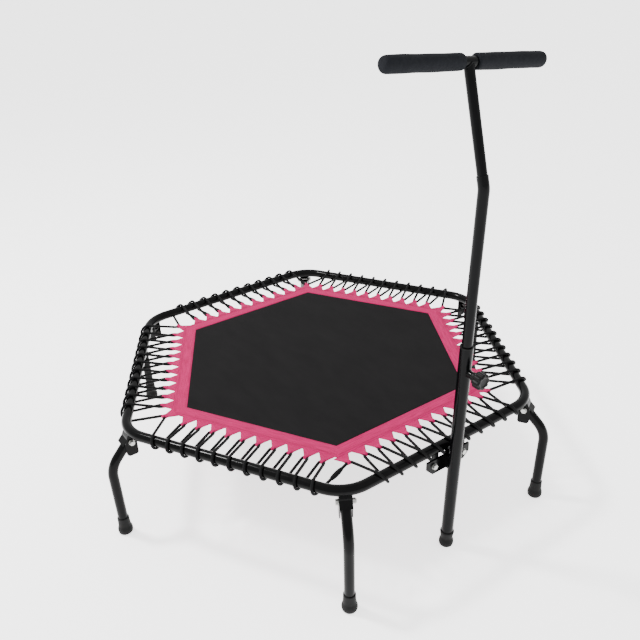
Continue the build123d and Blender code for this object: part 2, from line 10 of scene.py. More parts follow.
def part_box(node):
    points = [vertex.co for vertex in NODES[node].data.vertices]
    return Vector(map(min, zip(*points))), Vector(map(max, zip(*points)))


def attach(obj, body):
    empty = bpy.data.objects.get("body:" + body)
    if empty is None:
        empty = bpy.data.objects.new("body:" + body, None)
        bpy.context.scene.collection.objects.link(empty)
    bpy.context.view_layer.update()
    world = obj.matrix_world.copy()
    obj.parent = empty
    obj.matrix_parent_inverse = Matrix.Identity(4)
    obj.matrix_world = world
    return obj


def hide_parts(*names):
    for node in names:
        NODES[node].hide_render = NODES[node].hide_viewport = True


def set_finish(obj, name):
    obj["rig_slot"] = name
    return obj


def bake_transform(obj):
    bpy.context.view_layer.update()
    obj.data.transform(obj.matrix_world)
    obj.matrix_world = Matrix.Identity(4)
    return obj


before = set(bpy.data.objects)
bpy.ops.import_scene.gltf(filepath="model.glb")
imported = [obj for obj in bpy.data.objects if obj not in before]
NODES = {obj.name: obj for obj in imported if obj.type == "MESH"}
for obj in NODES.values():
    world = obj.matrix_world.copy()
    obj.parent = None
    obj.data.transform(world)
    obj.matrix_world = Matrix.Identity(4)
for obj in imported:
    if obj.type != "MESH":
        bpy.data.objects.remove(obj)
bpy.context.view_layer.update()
rng = random.Random(7)

# ------------------------------------------------------------------ the part's own sizes, in metres
mat_low, mat_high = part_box("mat")
CENTRE = Vector(((mat_low.x + mat_high.x) / 2, (mat_low.y + mat_high.y) / 2, 0))
SIDE = 0.636
APOTHEM = SIDE * math.sqrt(3) / 2
FRAME_Z = 0.323
MAT_Z = 0.321
MAT_APOTHEM = 0.391
BAND_APOTHEM = 0.431
TAB_TIP = 0.461
CORNER_TAB_TIP = 0.522
LACE_PITCH = 0.0454
TABS = 10
LACE_SHIFT = (0.017, 0.005, 0.002, -0.014, 0.002, 0.013)
CORNER_TAB_SHIFT = (0, 0, 0, 0, 0, 0.026)
CORD_R = 0.0039                  # drawn a little thicker than the part's cord
TURN_HALF = 0.0065
RUN_HALF = (0.0085, 0.0075, 0.0075, 0.0075, 0.0075, 0.020)
WRAP_R = 0.018
LEG_KNEE = (0.686, 0.2273)
LEG_FOOT = (0.6812, 0.008)
POST_OUT = 0.574
POST_TILT = math.radians(2.15)
BAR_OUT = 0.547
BAR_Z = 1.243
BAR_TILT = math.radians(5)
HANDLE_BEND_AT = 1.0037
KNOB_AT = 0.560
MAT_SAG = 0.0022
MAT_HEM = 0.006

POST_AXIS = Vector((0, -math.sin(POST_TILT), math.cos(POST_TILT)))
POST_FRONT = Vector((0, -math.cos(POST_TILT), -math.sin(POST_TILT)))
POST_FLOOR = Vector((0, CENTRE.y - POST_OUT, 0))
BAR_CENTRE = Vector((0, CENTRE.y - BAR_OUT, BAR_Z))
BAR_AXIS = Vector((math.cos(BAR_TILT), 0, -math.sin(BAR_TILT)))


def outward(angle):
    return Vector((math.cos(math.radians(angle)), math.sin(math.radians(angle)), 0))


def along(angle):
    return Vector((-math.sin(math.radians(angle)), math.cos(math.radians(angle)), 0))


def at(angle, distance, station=0.0, height=0.0):
    return CENTRE + outward(angle) * distance + along(angle) * station + Vector((0, 0, height))


def side_angle(n):
    return -90 + 60 * (n - 1)


def corner_angle(n):
    return -60 + 60 * (n - 1)


# ------------------------------------------------------------------ materials

class Nodes:
    """Short way to write a material's node tree."""

    def __init__(self, name, colour, roughness, **sockets):
        self.material = bpy.data.materials.new(name)
        self.material.use_nodes = True
        self.tree = self.material.node_tree
        self.shader = self.tree.nodes["Principled BSDF"]
        self.shader.inputs["Base Color"].default_value = (*colour, 1)
        self.shader.inputs["Roughness"].default_value = roughness
        for key, value in sockets.items():
            self.shader.inputs[key.replace("_", " ")].default_value = value

    def node(self, kind, **settings):
        made = self.tree.nodes.new(kind)
        for key, value in settings.items():
            setattr(made, key, value)
        return made

    def link(self, a, b):
        self.tree.links.new(a, b)

    def math(self, operation, a, b=None, clamp=False):
        made = self.node("ShaderNodeMath", operation=operation, use_clamp=clamp)
        for socket, value in zip(made.inputs, (a, b)):
            if value is None:
                continue
            if isinstance(value, (int, float)):
                socket.default_value = value
            else:
                self.link(value, socket)
        return made.outputs[0]

    def position(self):
        """Place on the object, in metres, as (x, y, z) sockets and a vector socket."""
        coordinates = self.node("ShaderNodeTexCoord")
        split = self.node("ShaderNodeSeparateXYZ")
        self.link(coordinates.outputs["Object"], split.inputs[0])
        return split.outputs, coordinates.outputs["Object"]

    def uv(self):
        coordinates = self.node("ShaderNodeUVMap", uv_map="UVMap")
        split = self.node("ShaderNodeSeparateXYZ")
        self.link(coordinates.outputs[0], split.inputs[0])
        return split.outputs

    def noise(self, vector, scale, detail=4.0, roughness=0.55, stretch=None):
        if stretch:
            mapping = self.node("ShaderNodeMapping")
            mapping.inputs["Scale"].default_value = stretch
            self.link(vector, mapping.inputs["Vector"])
            vector = mapping.outputs[0]
        made = self.node("ShaderNodeTexNoise")
        made.inputs["Scale"].default_value = scale
        made.inputs["Detail"].default_value = detail
        made.inputs["Roughness"].default_value = roughness
        self.link(vector, made.inputs["Vector"])
        return made.outputs["Fac"]

    def voronoi(self, vector, scale, feature="F1"):
        made = self.node("ShaderNodeTexVoronoi", feature=feature)
        made.inputs["Scale"].default_value = scale
        self.link(vector, made.inputs["Vector"])
        return made.outputs["Distance"]

    def ramp(self, fac, stops):
        made = self.node("ShaderNodeValToRGB")
        elements = made.color_ramp.elements
        while len(elements) < len(stops):
            elements.new(0.5)
        for element, (place, colour) in zip(elements, stops):
            element.position = place
            element.color = (*colour, 1)
        self.link(fac, made.inputs[0])
        return made.outputs[0]

    def remap(self, fac, low, high):
        made = self.node("ShaderNodeMapRange")
        made.inputs["To Min"].default_value = low
        made.inputs["To Max"].default_value = high
        self.link(fac, made.inputs["Value"])
        return made.outputs[0]

    def colour(self, socket):
        self.link(socket, self.shader.inputs["Base Color"])

    def roughness(self, socket):
        self.link(socket, self.shader.inputs["Roughness"])

    def bump(self, height, distance, strength=1.0, before=None):
        made = self.node("ShaderNodeBump")
        made.inputs["Distance"].default_value = distance
        made.inputs["Strength"].default_value = strength
        self.link(height, made.inputs["Height"])
        if before:
            self.link(before, made.inputs["Normal"])
        self.link(made.outputs[0], self.shader.inputs["Normal"])
        return made.outputs[0]


def powder_coat(name, colour, roughness, wear):
    """Black powder coat: orange-peel skin, faint dust and rub marks."""
    n = Nodes(name, colour, roughness, Specular_IOR_Level=0.075)
    _, place = n.position()
    peel = n.noise(place, 700, detail=2)
    rubs = n.noise(place, 60, detail=6, roughness=0.7, stretch=(1, 1, 0.35))
    n.roughness(n.remap(rubs, roughness - 0.05, roughness + 0.12))
    lighter = tuple(c * (1 + wear) + 0.0008 for c in colour)
    n.colour(n.ramp(rubs, [(0.35, colour), (0.72, lighter)]))
    n.bump(peel, 0.00006, 0.35)
    return n.material


def zinc(name):
    n = Nodes(name, (0.42, 0.42, 0.41), 0.34, Metallic=1.0)
    _, place = n.position()
    spangle = n.voronoi(place, 900)
    haze = n.noise(place, 180, detail=5)
    n.colour(n.ramp(haze, [(0.3, (0.30, 0.30, 0.29)), (0.7, (0.52, 0.52, 0.50))]))
    n.roughness(n.remap(spangle, 0.28, 0.5))
    n.bump(haze, 0.0001, 0.4)
    return n.material


def moulded(name, colour, roughness, grain, depth):
    """Moulded rubber or plastic with a fine grain."""
    n = Nodes(name, colour, roughness, Specular_IOR_Level=0.09)
    _, place = n.position()
    skin = n.voronoi(place, grain)
    cloud = n.noise(place, 90, detail=5)
    dusty = tuple(c * 1.5 + 0.002 for c in colour)
    n.colour(n.ramp(cloud, [(0.35, colour), (0.75, dusty)]))
    n.roughness(n.remap(cloud, roughness - 0.06, roughness + 0.12))
    n.bump(skin, depth, 0.6)
    return n.material


def foam(name):
    n = Nodes(name, (0.008, 0.0085, 0.010), 0.8, Specular_IOR_Level=0.06, Sheen_Weight=0.0)
    _, place = n.position()
    cells = n.voronoi(place, 1300)
    lumps = n.noise(place, 130, detail=5)
    n.colour(n.ramp(lumps, [(0.3, (0.0062, 0.0068, 0.0085)), (0.7, (0.0095, 0.0103, 0.0125))]))
    n.roughness(n.remap(cells, 0.68, 0.9))
    n.bump(cells, 0.00018, 0.6, before=n.bump(lumps, 0.0003, 0.4))
    return n.material


def woven(name, colours, pitch, depth, roughness, sheen, streak):
    """Plain weave of flat tapes in the x and y directions."""
    n = Nodes(name, colours[0], roughness, Specular_IOR_Level=0.05, Sheen_Weight=sheen)
    (x, y, _), place = n.position()
    turn = 2 * math.pi / pitch
    wave_x = n.math("SINE", n.math("MULTIPLY", x, turn))
    wave_y = n.math("SINE", n.math("MULTIPLY", y, turn))
    cross = n.math("MULTIPLY", wave_x, wave_y)
    weave = n.math("ADD", n.math("MULTIPLY", cross, 0.5), 0.5)
    cloud = n.noise(place, streak, detail=6, roughness=0.6, stretch=(1, 0.35, 1))
    tone = n.math("ADD", n.math("MULTIPLY", weave, 0.3), n.math("MULTIPLY", cloud, 0.7))
    n.colour(n.ramp(tone, [(0.25, colours[0]), (0.75, colours[1])]))
    n.roughness(n.remap(weave, roughness - 0.08, roughness + 0.1))
    n.bump(weave, depth, 0.7)
    return n.material


def webbing(name, dark, light):
    """Ribbed polyester webbing: UV u runs along the strap and v across it, in metres."""
    n = Nodes(name, light, 0.75, Specular_IOR_Level=0.12, Sheen_Weight=0.03)
    u, v, _ = n.uv()
    ribs = n.math("SINE", n.math("MULTIPLY", v, 2 * math.pi / 0.0021))
    picks = n.math("SINE", n.math("MULTIPLY", n.math("ADD", u, n.math("MULTIPLY", v, 0.5)),
                                  2 * math.pi / 0.0016))
    weave = n.math("ADD", n.math("MULTIPLY", n.math("MULTIPLY", ribs, picks), 0.5), 0.5)
    strap = n.node("ShaderNodeCombineXYZ")
    n.link(n.math("MULTIPLY", u, 22), strap.inputs[0])
    n.link(n.math("MULTIPLY", v, 330), strap.inputs[1])
    cloud = n.noise(strap.outputs[0], 1.0, detail=4, roughness=0.6)
    tone = n.math("ADD", n.math("MULTIPLY", weave, 0.25), n.math("MULTIPLY", cloud, 0.75))
    n.colour(n.ramp(tone, [(0.3, dark), (0.62, light)]))
    n.bump(weave, 0.0004, 0.6, before=n.bump(cloud, 0.0006, 0.5))
    return n.material


def braid(name):
    """Braided elastic cord: UV u runs round the cord in turns and v along it in metres."""
    n = Nodes(name, (0.004, 0.004, 0.0042), 0.6, Specular_IOR_Level=0.07, Sheen_Weight=0.0)
    u, v, _ = n.uv()
    _, place = n.position()
    strands = 8
    lead = 0.014
    round_u = n.math("MULTIPLY", u, 2 * math.pi * strands / 2)
    long_v = n.math("MULTIPLY", v, 2 * math.pi * strands / 2 / lead)
    left = n.math("SINE", n.math("ADD", round_u, long_v))
    right = n.math("SINE", n.math("SUBTRACT", round_u, long_v))
    weave = n.math("ADD", n.math("MULTIPLY", n.math("MULTIPLY", left, right), 0.5), 0.5)
    fluff = n.noise(place, 500, detail=3)
    tone = n.math("ADD", n.math("MULTIPLY", weave, 0.7), n.math("MULTIPLY", fluff, 0.3))
    n.colour(n.ramp(tone, [(0.3, (0.002, 0.002, 0.0022)), (0.8, (0.009, 0.009, 0.0095))]))
    n.roughness(n.remap(fluff, 0.5, 0.75))
    n.bump(weave, 0.0005, 0.9)
    return n.material


FRAME_PAINT = powder_coat("frame_paint", (0.0010, 0.0010, 0.0011), 0.12, 0.5)
HANDLE_PAINT = powder_coat("handle_paint", (0.0010, 0.0011, 0.0013), 0.14, 0.5)
ZINC = zinc("zinc_steel")
RUBBER = moulded("foot_rubber", (0.004, 0.004, 0.004), 0.55, 1100, 0.00012)
PLASTIC = moulded("black_plastic", (0.003, 0.003, 0.003), 0.36, 1500, 0.0001)
FOAM = foam("grip_foam")
MAT = woven("mat_weave", ((0.0050, 0.0048, 0.0050), (0.0085, 0.0080, 0.0083)), 0.0022, 0.0002, 0.7, 0.0, 26)
PINK = webbing("pink_webbing", (0.24, 0.003, 0.043), (0.45, 0.006, 0.102))
THREAD = webbing("pink_thread", (0.22, 0.006, 0.04), (0.36, 0.012, 0.07))
CORD = braid("bungee_cord")


# ------------------------------------------------------------------ mesh helpers

def add_mesh(name, points, faces, material, slot, uvs=None, smooth=True):
    """Makes an object from points and faces; uvs is one (u, v) for each face corner."""
    data = bpy.data.meshes.new(name)
    data.from_pydata([tuple(p) for p in points], [], faces)
    if uvs is not None:
        layer = data.uv_layers.new(name="UVMap")
        flat = [value for face in uvs for corner in face for value in corner]
        layer.data.foreach_set("uv", flat)
    data.polygons.foreach_set("use_smooth", [smooth] * len(data.polygons))
    data.materials.append(material)
    data.update()
    made = bpy.data.objects.new(name, data)
    bpy.context.scene.collection.objects.link(made)
    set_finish(made, slot)
    return made


def grid_faces(rows, columns, start=0, closed=False):
    """Quads of a grid of rows x columns points; closed joins the last column to the first."""
    faces = []
    for i in range(rows - 1):
        for j in range(columns if closed else columns - 1):
            k = (j + 1) % columns
            faces.append((start + i * columns + j, start + i * columns + k,
                          start + (i + 1) * columns + k, start + (i + 1) * columns + j))
    return faces


def lathe(name, origin, axis, profile, material, slot, segments=48, radius_at=None):
    """Turned form: profile is (radius, height) pairs, smoothed by Catmull-Rom between them."""
    axis = Vector(axis).normalized()
    side = axis.orthogonal().normalized()
    other = axis.cross(side)
    fine = smooth_profile(profile)
    points = []
    for radius, height in fine:
        for j in range(segments):
            turn = 2 * math.pi * j / segments
            r = radius if radius_at is None else radius_at(radius, height, turn)
            points.append(Vector(origin) + axis * height
                          + (side * math.cos(turn) + other * math.sin(turn)) * r)
    faces = grid_faces(len(fine), segments, closed=True)
    faces.append(tuple(range(segments))[::-1])
    faces.append(tuple(range((len(fine) - 1) * segments, len(fine) * segments)))
    return add_mesh(name, points, faces, material, slot)


def smooth_profile(profile, steps=5):
    """Catmull-Rom through the profile; a repeated point keeps its corner sharp."""
    fine = []
    count = len(profile)
    for i in range(count - 1):
        p0, p1 = np.array(profile[max(i - 1, 0)]), np.array(profile[i])
        p2, p3 = np.array(profile[i + 1]), np.array(profile[min(i + 2, count - 1)])
        if np.allclose(p1, p2):
            continue
        for k in range(steps):
            t = k / steps
            fine.append(tuple(0.5 * (2 * p1 + (p2 - p0) * t + (2 * p0 - 5 * p1 + 4 * p2 - p3) * t * t
                                     + (3 * p1 - p0 - 3 * p2 + p3) * t ** 3)))
    fine.append(tuple(profile[-1]))
    return fine


def spline_points(points, resolution=10):
    """Points along the smooth curve that the control points define."""
    curve = bpy.data.curves.new("route", "CURVE")
    curve.dimensions = "3D"
    curve.resolution_u = resolution
    spline = curve.splines.new("NURBS")
    spline.points.add(len(points) - 1)
    for point, place in zip(spline.points, points):
        point.co = (*place, 1)
    spline.order_u = 3
    spline.use_endpoint_u = True
    holder = bpy.data.objects.new("route", curve)
    bpy.context.scene.collection.objects.link(holder)
    bpy.context.view_layer.update()
    line = bpy.data.meshes.new_from_object(holder)
    found = [v.co.copy() for v in line.vertices]
    bpy.data.objects.remove(holder)
    bpy.data.curves.remove(curve)
    bpy.data.meshes.remove(line)
    kept = [found[0]]
    for p in found[1:]:
        if (p - kept[-1]).length > 0.0004:
            kept.append(p)
    return kept


def tube(name, line, radius_at, material, slot, ring=10):
    """Round tube along a line, UV u round it in turns and v along it in metres."""
    count = len(line)
    tangents = []
    for i in range(count):
        tangents.append((line[min(i + 1, count - 1)] - line[max(i - 1, 0)]).normalized())
    normal = tangents[0].orthogonal().normalized()
    points, lengths, length = [], [], 0.0
    for i in range(count):
        if i:
            length += (line[i] - line[i - 1]).length
            normal = (normal - tangents[i] * normal.dot(tangents[i])).normalized()
        lengths.append(length)
        other = tangents[i].cross(normal)
        r = radius_at(length)
        for j in range(ring):
            turn = 2 * math.pi * j / ring
            points.append(line[i] + (normal * math.cos(turn) + other * math.sin(turn)) * r)
    faces = grid_faces(count, ring, closed=True)
    uvs = []
    for i in range(count - 1):
        for j in range(ring):
            uvs.append(((j / ring, lengths[i]), ((j + 1) / ring, lengths[i]),
                        ((j + 1) / ring, lengths[i + 1]), (j / ring, lengths[i + 1])))
    faces += [tuple(range(ring))[::-1], tuple(range((count - 1) * ring, count * ring))]
    uvs += [tuple((0, 0) for _ in range(ring))] * 2
    return add_mesh(name, points, faces, material, slot, uvs)


# ------------------------------------------------------------------ CAD nodes that keep their shape

def paint(names, material):
    for name in names:
        node = NODES[name]
        for i in range(len(node.material_slots)):
            node.material_slots[i].material = material
        if not node.material_slots:
            node.data.materials.append(material)


paint([f"frame_corner_{k}" for k in range(1, 7)], FRAME_PAINT)
paint([f"leg_{k}" for k in range(1, 7)] + [f"leg_bracket_{k}" for k in range(1, 7)], FRAME_PAINT)
paint(["frame_sleeves", "post_bracket", "post_plate", "knob_boss"], FRAME_PAINT)
paint(["post_tube", "handle_tube", "handle_stem", "crossbar"], HANDLE_PAINT)
paint(["leg_pivot_bolts", "leg_pivot_nuts", "washers", "post_bolts", "post_nuts", "knob_stud"], ZINC)
paint(["post_bushing", "handle_guide", "clamp_washer"], PLASTIC)


# ------------------------------------------------------------------ rubber feet

def foot(name, bottom, axis, tube_r, r, height, body, node):
    """Tapered rubber cap with a bulging, flat-bottomed foot."""
    profile = [
        (0.0005, 0.0), (0.0005, 0.0), (r * 0.80, 0.0), (r * 0.80, 0.0), (r * 0.93, 0.0022), (r, 0.0085),
        (r * 0.985, 0.015), (r * 0.90, 0.0215), (r * 0.83, 0.028), (tube_r + 0.0026, height - 0.006),
        (tube_r + 0.0024, height - 0.0015), (tube_r + 0.0012, height), (tube_r + 0.0012, height),
        (tube_r + 0.0001, height),
    ]
    made = lathe(name, bottom, axis, profile, RUBBER, "foot_rubber")
    for v in made.data.vertices:
        v.co.z = max(v.co.z, 0.0)
    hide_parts(node)
    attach(made, body)
    return made


for k in range(1, 7):
    angle = corner_angle(k)
    knee = at(angle, LEG_KNEE[0], 0, LEG_KNEE[1])
    end = at(angle, LEG_FOOT[0], 0, LEG_FOOT[1])
    direction = (knee - end).normalized()
    bottom = end - direction * (LEG_FOOT[1] / direction.z)
    foot(f"rubber_foot_{k}", bottom, direction, 0.0135, 0.0205, 0.054, f"leg_{k}", f"leg_foot_{k}")
foot("rubber_post_foot", POST_FLOOR, POST_AXIS, 0.0159, 0.0195, 0.050, "frame", "post_foot")


# ------------------------------------------------------------------ mat and webbing border

def hexagon_point(angle, apothem, station, height):
    """Point on a hexagon's side; station runs from -1 to 1 between the corners."""
    return at(angle, apothem, station * apothem * math.tan(math.radians(30)), height)


def make_mat():
    """Thin woven sheet, drawn a little down in the middle by its own weight."""
    rings, per_side, thick = 30, 30, 0.0014
    points, faces = [], []
    for layer in (0, 1):
        points.append(at(0, 0, 0, MAT_Z + thick / 2 - layer * thick - MAT_SAG))
        for i in range(1, rings + 1):
            t = i / rings
            for side in range(1, 7):
                for j in range(per_side):
                    apothem = (MAT_APOTHEM + MAT_HEM) * t
                    place = hexagon_point(side_angle(side), apothem, 2 * j / per_side - 1, 0)
                    out = (place - CENTRE).length / MAT_APOTHEM
                    sag = -MAT_SAG * max(0.0, 1 - out * out)
                    place.z = MAT_Z + thick / 2 - layer * thick + sag
                    points.append(place)
    count = 6 * per_side
    total = 1 + rings * count
    for layer in (0, 1):
        base = layer * total
        for j in range(count):
            k = (j + 1) % count
            ring = (base, base + 1 + j, base + 1 + k)
            faces.append(ring if layer == 0 else ring[::-1])
        for quad in grid_faces(rings, count, base + 1, closed=True):
            faces.append(quad[::-1] if layer == 0 else quad)
    last = 1 + (rings - 1) * count
    for j in range(count):
        k = (j + 1) % count
        faces.append((last + j, total + last + j, total + last + k, last + k))
    made = add_mesh("mat_sheet", points, faces, MAT, "mat_weave")
    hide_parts("mat")
    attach(made, "mat")
    return made


def band_section():
    """Half of the border's section, top and bottom: (distance out, height above the mat's middle)."""
    top = [(MAT_APOTHEM - 0.0005, 0.0004), (MAT_APOTHEM + 0.0004, 0.0017), (MAT_APOTHEM + 0.003, 0.0021)]
    top += [(MAT_APOTHEM + 0.003 + i * 0.0034, 0.0021 + 0.00035 * math.sin(i * 1.7)) for i in range(1, 11)]
    top += [(BAND_APOTHEM - 0.001, 0.0019), (BAND_APOTHEM, 0.001)]
    return top + [(r, -h) for r, h in reversed(top)]


def make_band():
    """Webbing strap folded round the mat's edge, mitred at the corners."""
    section = band_section()
    per_side = 40
    points, faces, uvs = [], [], []
    for side in range(1, 7):
        start = len(points)
        for i in range(per_side + 1):
            for r, h in section:
                half = r * math.tan(math.radians(30))
                station = (2 * i / per_side - 1) * half
                place = at(side_angle(side), r, station, MAT_Z + h)
                points.append(place)
        columns = len(section)
        for i in range(per_side):
            for j in range(columns):
                k = (j + 1) % columns
                faces.append((start + i * columns + j, start + (i + 1) * columns + j,
                              start + (i + 1) * columns + k, start + i * columns + k))
                corners = []
                for a, b in ((i, j), (i + 1, j), (i + 1, k), (i, k)):
                    r = section[b][0]
                    corners.append(((2 * a / per_side - 1) * r * 0.577 + side, r))
                uvs.append(tuple(corners))
    made = add_mesh("webbing_band", points, faces, PINK, "pink_webbing", uvs)
    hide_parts("mat_border")
    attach(made, "mat")
    return made


def tab_stations(side):
    first = LACE_SHIFT[side - 1] - (TABS - 1) / 2 * LACE_PITCH
    return [first + i * LACE_PITCH for i in range(TABS)]


def wrap_stations(side):
    tabs = tab_stations(side)
    return [tabs[0] - LACE_PITCH / 2] + [tab + LACE_PITCH / 2 for tab in tabs]


def corner_tab(number):
    shift = CORNER_TAB_SHIFT[number - 1]
    if shift == 0:
        return corner_angle(number), CORNER_TAB_TIP, 0.0
    return corner_angle(number) + 30, TAB_TIP, shift - TAB_TIP * math.tan(math.radians(30))


def side_tabs(side):
    own = [(side_angle(side), TAB_TIP, station) for station in tab_stations(side)]
    return own + [corner_tab(side)]


def tab_outline(t, root_half):
    """Half width of a tab at t from its root, 0, to its tip, 1."""
    tip_half = 0.006
    return tip_half + (root_half - tip_half) * (1 - t)


def add_tab(points, faces, uvs, tab, index):
    """One strap end folded to a point, its flap on one half, rolled round the cord at its tip."""
    angle, tip, station = tab
    corner = tip == CORNER_TAB_TIP
    root = tip - (0.034 if corner else 0.0315)
    nose = tip + 0.0052
    rows, columns = 15, 13
    wobble = rng.uniform(-0.0008, 0.0008)
    section = []
    for i in range(rows):
        t = i / (rows - 1)
        out = root + (nose - root) * (1 - (1 - t) ** 1.35)
        share = min(1.0, (out - root) / (tip - 0.004 - root))
        half = tab_outline(share, 0.0226 if not corner else 0.02)
        roll = max(0.0, (out - (tip - 0.010)) / (nose - tip + 0.010))
        thick = 0.0017 + 0.0036 * math.sin(min(roll, 0.62) / 0.62 * math.pi / 2)
        if roll > 0.62:
            thick *= math.sqrt(max(0.0, 1 - ((roll - 0.62) / 0.38) ** 2))
        section.append((out, half, thick, t))
    start = len(points)
    for sign in (1, -1):
        for out, half, thick, t in section:
            for j in range(columns):
                s = 2 * j / (columns - 1) - 1
                edge = math.sqrt(max(0.0, 1 - abs(s) ** 8))
                height = sign * thick * (0.35 + 0.65 * edge)
                if sign > 0 and s > 0.04 - 0.3 * (1 - t):
                    height += 0.0009 * edge * min(1.0, (1 - t) * 6)
                height += wobble * t * (1 - t)
                points.append(at(angle, out, station + s * half, MAT_Z + height))
    layer = rows * columns
    for sign, base in ((1, start), (-1, start + layer)):
        for i in range(rows - 1):
            for j in range(columns - 1):
                quad = ((i, j), (i, j + 1), (i + 1, j + 1), (i + 1, j))
                if sign > 0:
                    quad = quad[::-1]
                faces.append(tuple(base + a * columns + b for a, b in quad))
                corners = []
                for a, b in quad:
                    out, half, _, _ = section[a]
                    s = 2 * b / (columns - 1) - 1
                    slant = (s * half) * 0.75 * (1 if s > 0 else -1)
                    corners.append((station + s * half + index, out + slant))
                uvs.append(tuple(corners))
    for i in range(rows - 1):
        for j, flip in ((0, False), (columns - 1, True)):
            quad = [start + i * columns + j, start + (i + 1) * columns + j,
                    start + layer + (i + 1) * columns + j, start + layer + i * columns + j]
            faces.append(tuple(quad[::-1] if flip else quad))
            uvs.append(tuple((section[a][0], 0.002 * b) for a, b in ((i, 0), (i + 1, 0), (i + 1, 1), (i, 1))))
    for i, flip in ((0, True), (rows - 1, False)):
        for j in range(columns - 1):
            quad = [start + i * columns + j, start + i * columns + j + 1,
                    start + layer + i * columns + j + 1, start + layer + i * columns + j]
            faces.append(tuple(quad[::-1] if flip else quad))
            uvs.append(tuple((j * 0.002, 0.002 * b) for b in (0, 0, 1, 1)))


def make_tabs(side):
    points, faces, uvs = [], [], []
    for index, tab in enumerate(side_tabs(side)):
        add_tab(points, faces, uvs, tab, index)
    made = add_mesh(f"webbing_tabs_{side}", points, faces, PINK, "pink_webbing", uvs)
    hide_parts(f"mat_tabs_{side}")
    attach(made, "mat")
    return made


def make_stitches():
    """Rows of lockstitch that hold the strap to the mat and the tabs to the strap."""
    points, faces, uvs = [], [], []

    def stitch(place, direction, length):
        across = Vector((0, 0, 1)).cross(direction)
        start = len(points)
        rows = ((-0.5, 0.0), (-0.32, 1.0), (0.32, 1.0), (0.5, 0.0))
        for t, full in rows:
            for turn in (0, 60, 120, 180):
                angle = math.radians(turn)
                points.append(place + direction * (length * t)
                              + across * (0.00042 * math.cos(angle))
                              + Vector((0, 0, 0.00048 * math.sin(angle) * full)))
        for quad in grid_faces(4, 4, start):
            faces.append(quad)
            uvs.append(((0, 0), (0.001, 0), (0.001, 0.001), (0, 0.001)))

    for side in range(1, 7):
        angle = side_angle(side)
        direction = along(angle)
        for r, height in ((MAT_APOTHEM + 0.004, 0.0022), (BAND_APOTHEM - 0.0065, 0.0024),
                          (BAND_APOTHEM - 0.0095, 0.0024)):
            half = r * math.tan(math.radians(30)) - 0.003
            count = int(2 * half / 0.0042)
            for i in range(count):
                station = -half + (i + 0.5) * 2 * half / count
                stitch(at(angle, r, station, MAT_Z + height), direction, 0.0031)
    made = add_mesh("webbing_stitches", points, faces, THREAD, "pink_webbing", uvs)
    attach(made, "mat")
    return made


mat_sheet = make_mat()
band = make_band()
tabs = [make_tabs(k) for k in range(1, 7)]
stitches = make_stitches()


# ------------------------------------------------------------------ lacing

def wrap_points(side, station):
    """Control points of the cord's way round the frame tube."""
    reach = APOTHEM - TAB_TIP
    rise = FRAME_Z - MAT_Z
    tilt = math.degrees(math.atan2(rise, reach))
    spread = math.degrees(math.atan2(WRAP_R, math.sqrt(reach ** 2 + rise ** 2 - WRAP_R ** 2)))
    turn = (180 + 2 * spread) / 3
    corner = WRAP_R / math.cos(math.radians(turn / 2))
    start = tilt + spread + 90 - turn / 2
    advance = LACE_PITCH / 2 - RUN_HALF[side - 1]
    points = []
    for i in (0, 1, 2):
        direction = math.radians(start - i * turn)
        points.append(at(side_angle(side), APOTHEM + corner * math.cos(direction),
                         station + (i - 1) * advance, FRAME_Z + corner * math.sin(direction)))
    return points


def turn_points(tab):
    angle, distance, station = tab
    return [at(angle, distance, station + half, MAT_Z) for half in (-TURN_HALF, TURN_HALF)]


def step(a, b, distance):
    """Point on the run from a to b, at a distance from a."""
    return a + (b - a).normalized() * distance


def lacing_route(side):
    """The cord from the middle of one corner tab to the middle of the next."""
    near_turn, near_wrap = 2 * TURN_HALF, 0.022
    previous = 6 if side == 1 else side - 1
    first = turn_points(corner_tab(previous))
    points = [(first[0] + first[1]) / 2, first[1]]
    tabs_here = side_tabs(side)
    for station, tab in zip(wrap_stations(side), tabs_here):
        wrap = wrap_points(side, station)
        turn = turn_points(tab)
        points += [step(points[-1], wrap[0], near_turn), step(wrap[0], points[-1], near_wrap)]
        points += wrap
        points += [step(wrap[2], turn[0], near_wrap), step(turn[0], wrap[2], near_turn), turn[0]]
        points += [(turn[0] + turn[1]) / 2] if tab is tabs_here[-1] else [turn[1]]
    return points


def blend_to_mat(made):
    """Bakes the piece's placement into its mesh; the piece is left attached to no body."""
    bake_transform(made)


def make_lacing(side):
    line = spline_points(lacing_route(side), 6)
    made = tube(f"lacing_{side}", line, lambda length: CORD_R, CORD, "bungee_cord")
    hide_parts(f"bungee_{side}")
    blend_to_mat(made)


for k in range(1, 7):
    make_lacing(k)


def make_splice(name, run_start, run_end, middle, length, radius):
    """Whipped splice that joins the lacing's ends: a spindle of tight turns."""
    direction = (run_end - run_start).normalized()
    count = 60
    line = [run_start + direction * (middle - length / 2 + length * i / count) for i in range(count + 1)]
    turns = 11

    def radius_at(s):
        t = min(max(s / length, 0), 1)
        body = CORD_R + 0.0002 + (radius - CORD_R) * math.sin(math.pi * t) ** 0.6
        return body + 0.00035 * math.sin(2 * math.pi * turns * t)

    made = tube(name, line, radius_at, CORD, "bungee_cord", ring=16)
    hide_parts("bungee_clamp")
    blend_to_mat(made)


last_turn = turn_points(corner_tab(6))[0]
last_wrap = wrap_points(6, wrap_stations(6)[-1])[2]
make_splice("lacing_splice", last_turn, last_wrap, 0.040, 0.042, 0.0064)


# ------------------------------------------------------------------ handle

